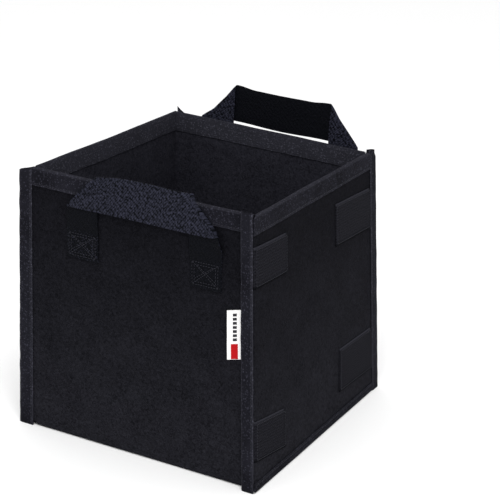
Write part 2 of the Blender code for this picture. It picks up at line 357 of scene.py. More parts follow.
# --- making meshes ------------------------------------------------------------------------
class Cloth:
    """Vertices, faces, texture places and wear, with painted light, of one piece while it is drawn."""

    def __init__(self):
        self.verts, self.faces, self.spots, self.sides = [], [], [], []

    def add_rows(self, rows, spots, place=settle):
        """Adds a closed body through outlines; each outline is one face and then its back, reversed."""
        start, n = len(self.verts), len(rows[0])
        self.verts += [place(point) for row in rows for point in row]
        self.spots += [spot for row in spots for spot in row]
        for r in range(len(rows) - 1):
            for i in range(n):
                j = (i + 1) % n
                a, b = start + r * n, start + (r + 1) * n
                self.faces.append((a + i, a + j, b + j, b + i))
                self.sides.append(0 if i < n // 2 else 1)
        for base in (start, start + (len(rows) - 1) * n):
            for i in range(n // 2 - 1):
                self.faces.append((base + i, base + i + 1, base + n - 2 - i, base + n - 1 - i))
                self.sides.append(0)

    def add_stitch(self, middle, along, normal, length, place=settle):
        """Adds one stitch: a short thread that dives into the cloth at both ends."""
        thick = stitching().thread
        across = along.cross(normal).normalized()
        start, sides = len(self.verts), 6
        rings = ((-0.5, -0.3, 0.35), (-0.36, 0.45, 0.9), (0.36, 0.45, 0.9), (0.5, -0.3, 0.35))
        for t, lift, girth in rings:
            centre = middle + along * (t * length) + normal * (lift * thick)
            for k in range(sides):
                angle = 2 * math.pi * k / sides
                ring = across * math.cos(angle) + normal * math.sin(angle)
                self.verts.append(place(centre + ring * (girth * thick)))
                self.spots.append((t * length, k * thick, 0.0))
        for r in range(len(rings) - 1):
            for k in range(sides):
                a, b = start + r * sides, start + (r + 1) * sides
                m = (k + 1) % sides
                self.faces.append((a + k, a + m, b + m, b + k))
                self.sides.append(0)
        for base in (start, start + (len(rings) - 1) * sides):
            self.faces.append(tuple(base + k for k in range(sides)))
            self.sides.append(0)

    def add_seam(self, start, end, normal, place=settle, pitch=None):
        """Adds a row of stitches along a straight line of the pattern."""
        st = stitching()
        pitch = pitch or st.pitch
        run = Vector(end) - Vector(start)
        along = run.normalized()
        count = max(1, int(run.length / pitch))
        for i in range(count):
            middle = Vector(start) + run * ((i + 0.5) / count)
            slip = along.cross(normal) * (0.00012 * wander(i * 1.7, middle.z * 90, middle.x * 90))
            self.add_stitch(middle + slip, along, normal, st.stitch * pitch / st.pitch, place)

    def make(self, name, looks, sharp=50):
        """Turns what was drawn into a closed, smooth-shaded object."""
        mesh = bpy.data.meshes.new(name)
        mesh.from_pydata([tuple(v) for v in self.verts], [], self.faces)
        layer = mesh.uv_layers.new(name="cloth")
        flat = [c for loop in mesh.loops for c in self.spots[loop.vertex_index][:2]]
        layer.data.foreach_set("uv", flat)
        # The wear attribute holds fluffed edges together with painted highlights and shadows.
        wear_and_painted_light = mesh.attributes.new("wear_and_painted_light", "FLOAT", "POINT")
        wear_and_painted_light.data.foreach_set("value", [spot[2] for spot in self.spots])
        for look in looks:
            mesh.materials.append(look)
        if len(looks) > 1:
            mesh.polygons.foreach_set("material_index", self.sides)
        bm = bmesh.new()
        bm.from_mesh(mesh)
        bmesh.ops.recalc_face_normals(bm, faces=bm.faces)
        bm.to_mesh(mesh)
        bm.free()
        mesh.shade_smooth()
        mesh.set_sharp_from_angle(angle=math.radians(sharp))
        piece = bpy.data.objects.new(name, mesh)
        bpy.context.scene.collection.objects.link(piece)
        return piece


def attach(piece, body, slot, *nodes):
    """Lets a piece move with its CAD body and stand for its CAD nodes."""
    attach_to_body(piece, body)
    if nodes:
        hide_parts(*nodes)
    return piece


# --- materials ----------------------------------------------------------------------------
def add_node(tree, kind, inputs=(), **settings):
    """Adds a node with its settings, and sets or links its inputs."""
    made = tree.nodes.new(kind)
    for name, value in settings.items():
        setattr(made, name, value)
    for socket, value in dict(inputs).items():
        if isinstance(value, bpy.types.NodeSocket):
            tree.links.new(value, made.inputs[socket])
        else:
            made.inputs[socket].default_value = value
    return made


def start_material(name):
    """A new material's node tree and its shader, or None if the material is there already."""
    if name in bpy.data.materials:
        return bpy.data.materials[name], None, None
    made = bpy.data.materials.new(name)
    made.use_nodes = True
    return made, made.node_tree, made.node_tree.nodes["Principled BSDF"]


def finish_cloth(tree, shader, colour, height, roughness, specular, sheen, relief):
    """Links colour and relief to a cloth's shader and sets its gloss."""
    tree.links.new(colour, shader.inputs["Base Color"])
    bump = add_node(tree, "ShaderNodeBump", {"Height": height, "Strength": 1.0, "Distance": relief})
    tree.links.new(bump.outputs["Normal"], shader.inputs["Normal"])
    shader.inputs["Roughness"].default_value = roughness
    shader.inputs["Specular IOR Level"].default_value = specular
    shader.inputs["Sheen Weight"].default_value = sheen
    shader.inputs["Sheen Roughness"].default_value = 0.5


def fibre_cloth(name, dark, light, edge, fibre_mm, relief, roughness, specular, shade=0.34,
                dots_mm=0.0, painted_foot_light=None):
    """Matted fibres: tangled noise in colour and relief, soft blotches, and a lighter edge that is
    partly fluff and partly painted highlight.

    shade is the height of fibre below which it is dark, dots_mm the spacing of raised dots, if
    any, and dust the colour of painted light that the fibres take towards the foot.
    """
    made, tree, shader = start_material(name)
    if tree is None:
        return made
    places = add_node(tree, "ShaderNodeTexCoord").outputs
    place = places["Object"]
    fibres = add_node(tree, "ShaderNodeTexNoise", {
        "Vector": place, "Scale": 1 / (fibre_mm * MM), "Detail": 3.0, "Roughness": 0.65,
        "Distortion": 1.2}).outputs["Fac"]
    blotches = add_node(tree, "ShaderNodeTexNoise", {
        "Vector": place, "Scale": 1 / 0.030, "Detail": 3.0}).outputs["Fac"]
    if dots_mm:
        spots = add_node(tree, "ShaderNodeTexVoronoi", {
            "Vector": places["UV"], "Scale": 1 / (dots_mm * MM), "Randomness": 0.8}).outputs["Distance"]
        dot_relief_and_painted_shadow = add_node(tree, "ShaderNodeMapRange", {"Value": spots, "From Min": 0.0, "From Max": 0.60,
                                                    "To Min": 0.25, "To Max": -0.19}).outputs["Result"]
        fibres = add_node(tree, "ShaderNodeMath", {0: fibres, 1: dot_relief_and_painted_shadow}, operation="ADD").outputs[0]
    spread = add_node(tree, "ShaderNodeMapRange", {
        "Value": fibres, "From Min": shade, "From Max": 0.68}).outputs["Result"]
    mottled = add_node(tree, "ShaderNodeMath", {0: blotches, 1: 0.7}, operation="MULTIPLY").outputs[0]
    mixed = add_node(tree, "ShaderNodeMath", {0: spread, 1: mottled}, operation="ADD").outputs[0]
    share = add_node(tree, "ShaderNodeMath", {0: mixed, 1: 0.62}, operation="MULTIPLY").outputs[0]
    # Painted light: the fibre colour turns paler from 0.23 m down to the foot.
    if painted_foot_light:
        height = add_node(tree, "ShaderNodeSeparateXYZ", {0: place}).outputs["Z"]
        low = add_node(tree, "ShaderNodeMapRange", {"Value": height, "From Min": 0.230, "From Max": 0.0,
                                                   "To Max": 1.0}).outputs["Result"]
        light = add_node(tree, "ShaderNodeMix", {"Factor": low, "A": light, "B": painted_foot_light},
                         data_type="RGBA").outputs["Result"]
    colour = add_node(tree, "ShaderNodeMix", {"Factor": share, "A": dark, "B": light},
                      data_type="RGBA").outputs["Result"]
    # Wear lightens fluffed cut edges; it also carries painted highlights on tape folds and painted light
    # on the rim tapes' inner legs.
    wear_and_painted_light = add_node(tree, "ShaderNodeAttribute", attribute_name="wear_and_painted_light").outputs["Fac"]
    loose = add_node(tree, "ShaderNodeMapRange", {"Value": spread, "To Min": 0.35}).outputs["Result"]
    fluff_and_painted_light = add_node(tree, "ShaderNodeMath", {0: wear_and_painted_light, 1: loose}, operation="MULTIPLY").outputs[0]
    colour = add_node(tree, "ShaderNodeMix", {"Factor": fluff_and_painted_light, "A": colour, "B": edge},
                      data_type="RGBA").outputs["Result"]
    finish_cloth(tree, shader, colour, fibres, roughness, specular, 0.0, relief)
    return made


def felt_look():
    """Needle-punched polypropylene felt: matted, dull and hairy, with soft blotches.

    Its fibres are about 0.03 mm thick; tufts of 2.6 mm are drawn so that they show. Painted light
    makes it paler towards its foot.
    """
    c = bpy.context.scene.grow_bag_colours
    return fibre_cloth("needle_punched_felt", c.felt_dark, c.felt_light, c.tape_light,
                       2.6, 0.0006, 0.95, 0.03, painted_foot_light=c.painted_foot_light)


def inside_felt_painted_lighter_look():
    """The same felt's inner face, left hairy where the outer face is pressed, and painted paler as light
    inside the bag.
    """
    c = bpy.context.scene.grow_bag_colours
    return fibre_cloth("needle_punched_felt_inside_painted_lighter", c.inside_gap_painted_lighter, c.inside_fibre_painted_lighter, c.tape_light,
                       3.0, 0.0008, 0.95, 0.03)


def tape_look():
    """Spun-bonded binding tape: fibre pressed flat between dots, fluffed at its cut edge, with a painted
    highlight along its fold.

    The dots are 0.8 mm apart; dots 2.4 mm apart are drawn so that they show.
    """
    c = bpy.context.scene.grow_bag_colours
    return fibre_cloth("spun_bonded_binding_tape", c.tape_dark, c.tape_light, c.raw_edge_and_highlight,
                       1.8, 0.0008, 0.85, 0.03, shade=0.45, dots_mm=2.4)


def thread_look():
    """Twisted polyester sewing thread: slightly shiny, paler than the felt it lies on."""
    c = bpy.context.scene.grow_bag_colours
    made, tree, shader = start_material("twisted_polyester_thread")
    if tree is None:
        return made
    place = add_node(tree, "ShaderNodeTexCoord").outputs["Object"]
    twist = add_node(tree, "ShaderNodeTexNoise", {"Vector": place, "Scale": 900.0,
                                                 "Detail": 1.0}).outputs["Fac"]
    colour = add_node(tree, "ShaderNodeMix", {"Factor": twist, "A": c.patch_light, "B": c.thread},
                      data_type="RGBA").outputs["Result"]
    finish_cloth(tree, shader, colour, twist, 0.6, 0.12, 0.0, 0.0001)
    return made


def webbing_look(name, shade, tint, low, high, painted_yarn_highlight=None):
    """Woven polypropylene webbing: plump yarns that cross on a slant, with dark gaps between them.

    The yarns are about 1.3 mm wide; floats of 2.0 by 3.6 mm are drawn so that the weave shows.
    crown is the colour of painted highlights on the yarns' tops in the handles' sewn ends.
    """
    made, tree, shader = start_material(name)
    if tree is None:
        return made
    place = add_node(tree, "ShaderNodeTexCoord").outputs["UV"]
    float_size = (1 / (2.0 * MM), 1 / (3.6 * MM), 1.0)
    turned = add_node(tree, "ShaderNodeMapping", {"Vector": place, "Rotation": (0, 0, 0.7)})
    laid = add_node(tree, "ShaderNodeMapping", {"Vector": turned.outputs[0], "Scale": float_size})
    gaps = add_node(tree, "ShaderNodeTexVoronoi", {"Vector": laid.outputs[0], "Scale": 1.0,
                                                  "Randomness": 0.4}).outputs["Distance"]
    hairs = add_node(tree, "ShaderNodeTexNoise", {"Vector": place, "Scale": 420.0, "Detail": 3.0,
                                                 "Roughness": 0.7}).outputs["Fac"]
    plump = add_node(tree, "ShaderNodeMath", {0: gaps, 1: -0.60, 2: hairs},
                     operation="MULTIPLY_ADD").outputs[0]
    share = add_node(tree, "ShaderNodeMapRange", {"Value": plump, "From Min": low,
                                                 "From Max": high}).outputs["Result"]
    colour = add_node(tree, "ShaderNodeMix", {"Factor": share, "A": shade, "B": tint},
                      data_type="RGBA").outputs["Result"]
    # Painted highlights: the yarn tops turn the crown colour in the sewn ends.
    if painted_yarn_highlight:
        painted_sewn_end_highlight = add_node(tree, "ShaderNodeAttribute", attribute_name="wear_and_painted_light").outputs["Fac"]
        tops = add_node(tree, "ShaderNodeMapRange", {"Value": plump, "From Min": 0.31,
                                                    "From Max": 0.55}).outputs["Result"]
        lit = add_node(tree, "ShaderNodeMath", {0: tops, 1: painted_sewn_end_highlight}, operation="MULTIPLY").outputs[0]
        colour = add_node(tree, "ShaderNodeMix", {"Factor": lit, "A": colour, "B": painted_yarn_highlight},
                          data_type="RGBA").outputs["Result"]
    finish_cloth(tree, shader, colour, plump, 0.65, 0.035, 0.0, 0.0010)
    return made


def dark_webbing_look():
    """The webbing's face side: close and dark."""
    c = bpy.context.scene.grow_bag_colours
    return webbing_look("woven_webbing_face", c.web_dark, c.web_face, -0.1, 0.5, c.web_light)


def pale_webbing_look():
    """The webbing's back: open and bluish."""
    c = bpy.context.scene.grow_bag_colours
    return webbing_look("woven_webbing_back", c.web_dark, c.web_light, 0.07, 0.45)


def patch_look():
    """Hook-and-loop tape: a woven ground with tiny loops in level rows.

    The rows are 1 mm apart; rows 2.8 mm apart are drawn so that they show.
    """
    c = bpy.context.scene.grow_bag_colours
    made, tree, shader = start_material("hook_and_loop_tape")
    if tree is None:
        return made
    place = add_node(tree, "ShaderNodeTexCoord").outputs["UV"]
    parts = add_node(tree, "ShaderNodeSeparateXYZ", {0: place}).outputs
    step = 2 * math.pi / (2.8 * MM)
    weft = add_node(tree, "ShaderNodeMath", {0: parts[0], 1: step}, operation="MULTIPLY").outputs[0]
    zigzag = add_node(tree, "ShaderNodeMath", {0: weft}, operation="SINE").outputs[0]
    warp = add_node(tree, "ShaderNodeMath", {0: parts[1], 1: step, 2: zigzag},
                    operation="MULTIPLY_ADD").outputs[0]
    rows = add_node(tree, "ShaderNodeMath", {0: warp}, operation="SINE").outputs[0]
    hairs = add_node(tree, "ShaderNodeTexNoise", {"Vector": place, "Scale": 600.0,
                                                 "Detail": 3.0}).outputs["Fac"]
    mixed = add_node(tree, "ShaderNodeMath", {0: rows, 1: 0.09, 2: hairs},
                     operation="MULTIPLY_ADD").outputs[0]
    share = add_node(tree, "ShaderNodeMapRange", {"Value": mixed, "From Min": 0.22,
                                                 "From Max": 0.78}).outputs["Result"]
    colour = add_node(tree, "ShaderNodeMix", {"Factor": share, "A": c.patch_dark, "B": c.patch_light},
                      data_type="RGBA").outputs["Result"]
    # Painted highlight on the top edge and painted shadow on the lower and back edges, carried by wear.
    wear_and_painted_light = add_node(tree, "ShaderNodeAttribute", attribute_name="wear_and_painted_light").outputs["Fac"]
    colour = add_node(tree, "ShaderNodeMix", {"Factor": wear_and_painted_light, "A": colour, "B": c.raw_edge_and_highlight},
                      data_type="RGBA").outputs["Result"]
    dot_relief_and_painted_shadow = add_node(tree, "ShaderNodeMath", {0: wear_and_painted_light, 1: -1.0}, operation="MULTIPLY").outputs[0]
    painted_edge_shadow = add_node(tree, "ShaderNodeMapRange", {"Value": dot_relief_and_painted_shadow}).outputs["Result"]
    colour = add_node(tree, "ShaderNodeMix", {"Factor": painted_edge_shadow, "A": colour, "B": c.web_dark},
                      data_type="RGBA").outputs["Result"]
    finish_cloth(tree, shader, colour, share, 0.9, 0.03, 0.0, 0.0005)
    return made


def tab_look(name, tint, shade):
    """Woven satin tab: fine level ribs with a soft shine.

    The ribs are 0.3 mm apart; ribs of 0.9 mm are drawn so that they show.
    """
    made, tree, shader = start_material(name)
    if tree is None:
        return made
    place = add_node(tree, "ShaderNodeTexCoord").outputs["UV"]
    ribs = add_node(tree, "ShaderNodeTexWave", {"Vector": place, "Scale": 1 / (20 * 0.9 * MM) * 6.283,
                                               "Distortion": 0.6}, bands_direction="X").outputs["Fac"]
    share = add_node(tree, "ShaderNodeMapRange", {"Value": ribs, "To Min": 0.0,
                                                 "To Max": 0.5}).outputs["Result"]
    colour = add_node(tree, "ShaderNodeMix", {"Factor": share, "A": tint, "B": shade},
                      data_type="RGBA").outputs["Result"]
    finish_cloth(tree, shader, colour, ribs, 0.55, 0.1, 0.0, 0.0001)
    return made


# --- felt ---------------------------------------------------------------------------------
def sewn_strip(cloth, line, depth, low, high, point, step=0.006, wear_and_painted_light=None):
    """Adds felt with one face on a bent line, depth thick, swept from low to high.

    low and high may be functions of the place along the line; point turns (flat, swept) into a
    point of the pattern.
    """
    rows, spots = [], []
    ends = [(low(spot[0]) if callable(low) else low, high(spot[0]) if callable(high) else high)
            for spot in line]
    longest = max(b - a for a, b in ends)
    for share in spaced(0, 1, step / longest):
        face, back, seen = [], [], []
        for (place, normal, reach), (a, b) in zip(line, ends):
            swept = a + (b - a) * share
            face.append(point(place, swept))
            back.append(point(place + normal * depth, swept))
            seen.append((reach, swept, wear_and_painted_light(place, swept) if wear_and_painted_light else 0.0))
        rows.append(face + back[::-1])
        spots.append(seen + seen[::-1])
    cloth.add_rows(rows, spots)


class GROWBAG_OT_walls(bpy.types.Operator):
    """Cuts the three felt panels and stands them up"""

    bl_idname = "growbag.walls"
    bl_label = "Felt walls and base"

    def execute(self, context):
        s = sizes()
        half, edge, fold = half_width(), panel_edge(), 0.0035
        upright = lambda flat, swept: Vector((swept, flat.x, flat.y))
        level = lambda flat, swept: Vector((flat.x, flat.y, swept))

        panel = Cloth()
        foot = 0.004
        line = bent_line([(-half, panel_top()), (-half, 0), (half, 0), (half, panel_top())],
                         (fold, fold), 0.006)

        def left_end(flat):
            if flat.x < -half + 0.001 and flat.y > foot:
                return -seam_edge()
            return -edge if flat.y > foot else -edge + s.tape + s.gap

        def right_end(flat):
            return edge if flat.y > foot else edge - s.tape - s.gap

        sewn_strip(panel, line, s.felt, left_end, right_end, upright)
        tab = bent_line([(edge, half), (edge, seam_edge())], (), 0.003)
        sewn_strip(panel, tab, s.felt, foot, panel_top(), level)
        piece = panel.make("long_felt_panel", [felt_look(), inside_felt_painted_lighter_look()])
        attach(piece, "bag", "black_felt", "main_panel")

        turned = half - 2 * s.felt - s.gap
        outer, tight = 0.0032, 0.0010
        plans = {
            "right": ([(lap_edge(), -lapped_face()), (half, -lapped_face()), (half, seam_edge())],
                      (outer,), s.felt),
            "left": ([(-seam_edge(), -turned), (-half, -turned), (-half, lapped_face()),
                      (-lap_edge(), lapped_face())], (tight, outer), -s.felt),
        }
        for side, (corners, radii, depth) in plans.items():
            wall = Cloth()
            line = bent_line(corners, radii, 0.006)
            sewn_strip(wall, line, depth, single() / 2, panel_top(), level)
            piece = wall.make(f"{side}_felt_wall", [felt_look(), inside_felt_painted_lighter_look()])
            attach(piece, "bag", "black_felt", f"{side}_side_panel")
        return {"FINISHED"}


# --- bindings -----------------------------------------------------------------------------
def bind_edge(name, node, thickness, legs, spans, centre, along, across, span,
              cuts=(LATE, LATE), pinch_above=None, free_fold=0.0, slant=0.0, outer_wear=0.65,
              inner_leg_painted_light=0.0, seed=0.0):
    """Folds binding tape round an edge, wavy at its cut edges and pulled in at its seams.

    centre is the middle of the fold, along points to the fold and across to the outer leg. spans
    gives the tape's two ends on the outer leg and on the inner leg; cuts are the parts of the
    fold over which each end runs from one to the other. slant is how much lower the far end is at
    the fold than at the cut edges. outer_wear is how fluffed the cut edges are, and
    inner_leg_painted_light how much painted light lifts the whole inner leg.
    """
    s, st = sizes(), stitching()
    half = thickness / 2
    outer_leg, inner_leg = legs
    section = []          # (back from the fold, off the middle, normal, share of the fold, tip distance)
    for back in spaced(outer_leg, 0, 0.0016):
        section.append((-back, half, Vector((0, 1)), None, outer_leg - back))
    for i in range(1, 8):
        turn = math.pi * i / 8
        normal = Vector((math.sin(turn), math.cos(turn)))
        section.append((normal.x * half, normal.y * half, normal, i / 8, outer_leg))
    for back in spaced(0, inner_leg, 0.0016):
        section.append((-back, -half, Vector((0, -1)), None, inner_leg - back))
    outer, inner = spans
    ends = []
    for b, a, normal, share, tip in section:
        if share is None:
            share = 0 if a > 0 else 1
        shares = [clamp((share - start) / (stop - start)) for start, stop in cuts]
        low, high = (p + (q - p) * part for p, q, part in zip(outer, inner, shares))
        ends.append((low, high - slant * clamp(1 + b / outer_leg)))
    longest = max(high - low for low, high in ends)

    rows, spots = [], []
    for step, share in enumerate(spaced(0, 1, st.pitch / 2 / longest)):
        face, back, seen = [], [], []
        reach = 0.0
        for (b, a, normal, part, tip), (low, high) in zip(section, ends):
            swept = low + (high - low) * share
            side = 1 if a >= 0 else -1
            fold_depth = outer_leg if side > 0 else inner_leg
            seated = ease(0, st.seat, tip) * (1 - ease(fold_depth - 0.001, fold_depth + half, tip))
            plump = 0.00035 * seated * (1 + 0.5 * wander(swept * 60, tip * 60, seed + side))
            pinched = 0.00020 * (step % 2) * (1 - min(abs(tip - st.seat) / 0.0016, 1))
            flare = 0.00025 * (1 - ease(0, st.seat, tip)) * (0.6 + wander(swept * 110, seed, side))
            edge = st.edge_wander * (1 - ease(0, 0.004, tip)) * wander(swept * 130, seed + 3, side)
            wave = 0.0
            if part is not None or tip > fold_depth - 0.004:
                wave = free_fold * wander(swept * 75, seed + 7)
            off = a + normal.y * (plump - pinched + flare)
            out = b + normal.x * (plump + free_fold * 0.3) + edge * -1 + wave
            inner_off, inner_out = off - normal.y * s.tape, out - normal.x * s.tape
            if pinch_above is not None:
                squeeze = 1 - 0.55 * ease(pinch_above, pinch_above + 0.004, swept)
                off, inner_off = off * squeeze, inner_off * squeeze
            face.append(centre + along * out + across * off + span * swept)
            back.append(centre + along * inner_out + across * inner_off + span * swept)
            # Painted highlight along the whole fold, and painted light over the inner leg; the cut
            # edges' fluff is real wear.
            edge_fluff_and_painted_light = (outer_wear if side > 0 else 1.0) * (1 - ease(0.0004, 0.0022, tip))
            if part is not None:
                edge_fluff_and_painted_light = max(edge_fluff_and_painted_light, 0.33)
            elif side < 0:
                edge_fluff_and_painted_light = max(edge_fluff_and_painted_light, inner_leg_painted_light)
            seen.append((swept, reach, edge_fluff_and_painted_light))
            reach += 0.0016
        rows.append(face + back[::-1])
        spots.append(seen + seen[::-1])
    cloth = Cloth()
    cloth.add_rows(rows, spots)
    piece = cloth.make(name, [tape_look()])
    attach(piece, "bag", "binding_tape", node)

    sewing = Cloth()
    for side, leg, (low, high) in ((1, outer_leg, outer), (-1, inner_leg, inner)):
        line = centre - along * (leg - st.seat) + across * (side * (half + 0.0001))
        sewing.add_seam(line + span * (low + 0.002), line + span * (high - 0.002), across * side)
    thread = sewing.make(name.replace("tape", "thread"), [thread_look()])
    attach(thread, "bag", "binding_tape")
    return piece


class GROWBAG_OT_rim(bpy.types.Operator):
    """Binds the top edge of each wall"""

    bl_idname = "growbag.rim"
    bl_label = "Rim tapes"

    def execute(self, context):
        s = sizes()
        legs = (s.rim_outside - single() / 2, s.rim_inside - single() / 2)
        inside = panel_edge()
        stop = inside - s.tape - s.gap
        corner = half_width() - s.gap / 2
        lapped = lapped_face() + s.tape
        beside_seam = panel_edge() - s.felt - 3 * s.gap - s.tape
        plans = {
            "front": (-Y, X, (-corner, inside), (-inside, inside), (LATE, LATE)),
            "back": (Y, X, (-inside, beside_seam), (-inside, inside), (LATE, LATE)),
            "left": (-X, Y, (-beside_seam, lapped), (-stop, stop), (LATE, EARLY)),
            "right": (X, Y, (-lapped, corner), (-stop, stop), (EARLY, EARLY)),
        }
        for seed, (side, (outward, span, outer, inner, cuts)) in enumerate(plans.items()):
            centre = outward * (half_width() - s.felt / 2) + Z * panel_top()
            # Painted light lifts the rim tapes' inner legs, which lie in the shade inside the bag.
            bind_edge(f"{side}_rim_tape", f"{side}_rim_binding", single(), legs, (outer, inner),
                      centre, Z, outward, span, cuts, outer_wear=0.36, inner_leg_painted_light=0.70,
                      seed=seed * 5.3)
        return {"FINISHED"}


class GROWBAG_OT_seams(bpy.types.Operator):
    """Binds the four corner seams, two standing out and two folded flat"""

    bl_idname = "growbag.seams"
    bl_label = "Corner seam tapes"

    def execute(self, context):
        s = sizes()
        half = half_width()
        plain = s.height + s.seam_rise
        tops = {"front_left": (plain - 0.003, 0.002), "back_right": (plain, 0.0),
                "front_right": (plain, 0.0), "back_left": (plain + 0.002, 0.008)}
        reach = half + s.seam_width - double() / 2
        middle = half + s.tape + s.gap - double() / 2
        legs = (reach - half - s.gap, reach - half - s.gap)
        standing = {
            "front_left": (-X * reach - Y * middle, -X, -Y),
            "back_right": (Y * reach + X * middle, Y, X),
        }
        for seed, (corner, (centre, along, across)) in enumerate(standing.items()):
            top, slant = tops[corner]
            bind_edge(f"{corner}_seam_tape", f"{corner}_corner_binding", double(), legs,
                      ((0.0, top), (0.0, top)), centre, along, across, Z,
                      pinch_above=panel_top() - 0.002, free_fold=0.0007, slant=slant,
                      seed=20 + seed * 7.1)
        middle = lapped_face() + s.tape + s.gap - single() / 2
        legs = (half - s.gap - lap_edge(), panel_edge() - s.gap - lap_edge())
        flat = {
            "front_right": (X * lap_edge() - Y * middle, -X, -Y),
            "back_left": (-X * lap_edge() + Y * middle, X, Y),
        }
        for seed, (corner, (centre, along, across)) in enumerate(flat.items()):
            top, slant = tops[corner]
            bind_edge(f"{corner}_seam_tape", f"{corner}_corner_binding", single(), legs,
                      ((0.0, top), (0.0, top)), centre, along, across, Z,
                      pinch_above=panel_top(), free_fold=0.0005, slant=slant, seed=40 + seed * 7.1)
        return {"FINISHED"}


class GROWBAG_OT_base(bpy.types.Operator):
    """Binds the feet of the two side walls to the base"""

    bl_idname = "growbag.base"
    bl_label = "Base tapes"

    def execute(self, context):
        s = sizes()
        legs = (s.base_band - single() / 2, s.base_upstand - single() / 2)
        corner = half_width() - s.gap
        lapped = lapped_face() + s.tape
        beside_seam = panel_edge() - s.felt - 3 * s.gap - s.tape
        stop = half_width() - 0.0030
        plans = {
            "right": (X, (-lapped, corner)),
            "left": (-X, (-beside_seam, lapped)),
        }
        for seed, (side, (outward, outer)) in enumerate(plans.items()):
            centre = outward * (half_width() - s.felt / 2) + Z * (single() / 2)
            bind_edge(f"{side}_base_tape", f"{side}_base_binding", single(), legs,
                      (outer, (-stop, stop)), centre, -Z, outward, Y, (EARLY, EARLY),
                      outer_wear=0.2, seed=60 + seed * 7.1)
        return {"FINISHED"}


# --- handles ------------------------------------------------------------------------------
def strap_lines(left, right, foot, fold):
    """Cross-lines of a handle's strap from sewn end to sewn end.

    Each is (edge point, edge point, face normal, cloth place, cloth place), with points as
    (sideways, off the wall, height).
    """
    s = sizes()
    width, flat, proud, flip = s.webbing_width, s.gap + s.webbing / 2, 0.0023, 0.0010
    hinge = foot + s.sewn_end
    face, upward = Vector((0, 1, 0)), Vector((-1, 0, 1)).normalized()
    diagonal = Vector((1, 0, 1)).normalized()

    def off_wall(height):
        return flat + (proud - flat) * ease(hinge, hinge + 0.012, height)

    lines = []
    for height in spaced(foot, hinge + 0.012, 0.003):
        low = Vector((left, off_wall(height), height))
        lines.append((low, low + X * width, face, (height - foot, 0.0), (height - foot, width)))
    start = hinge + 0.012
    for share in spaced(0, 1, 0.2)[1:-1]:
        low = Vector((left, proud, start + (fold - start) * share))
        high = Vector((left + width, proud, start + (fold + width - start) * share))
        lines.append((low, high, face, (low.z - foot, 0.0), (high.z - foot, width)))
    low = Vector((left, proud, fold))
    high = low + Vector((width, 0, width))
    steps = 6
    for i in range(steps + 1):
        angle = math.pi * i / steps
        slide = diagonal * (flip * angle) + upward * (flip * math.sin(angle))
        slide += face * (flip * (1 - math.cos(angle)))
        normal = face * math.cos(angle) - upward * math.sin(angle)
        lines.append((low + slide, high + slide, normal, (fold - foot, 0.0),
                      (fold - foot + width, width)))
    one, two = lines[-1][0], lines[-1][1]
    middle = (left + right) / 2
    for share in spaced(0, 1, 0.1)[1:]:
        a = Vector((one.x + (middle - one.x) * share, one.y, one.z))
        b = Vector((two.x + (middle - two.x) * share, two.y, two.z))
        lines.append((a, b, -face, (fold - foot + a.x - left, 0.0), (fold - foot + b.x - left, width)))
    total = 2 * (fold - foot) + right - left
    other = []
    for a, b, normal, u, v in reversed(lines[:-1]):
        points = [Vector((left + right - p.x, p.y, p.z)) for p in (a, b)]
        other.append((*points, Vector((-normal.x, normal.y, normal.z)),
                      (total - u[0], u[1]), (total - v[0], v[1])))
    return lines + other


def strap_place(outward, hinge_height, lean_out, tugs):
    """A function that moves (sideways, off the wall, height) into the standing bag."""
    half = half_width()
    s = sizes()
    off = 1.5 * s.gap + s.webbing

    def place(point):
        x, out, z = point
        for near_x, near_z, reach, *tug in tugs:
            far = ((point.x - near_x) ** 2 + (point.z - near_z) ** 2) / reach ** 2
            pull = max(0.0, 1 - far) ** 2
            x, out, z = x + tug[0] * pull, out + tug[1] * pull, z + tug[2] * pull
        above = z - hinge_height
        angle = math.radians(lean_out) * ease(0, 0.008, above)
        if above > 0 and lean_out:
            out, z = (off + (out - off) * math.cos(angle) + above * math.sin(angle),
                      hinge_height + above * math.cos(angle) - (out - off) * math.sin(angle))
        return settle(X * x + outward * (half + out) + Z * z)

    return place


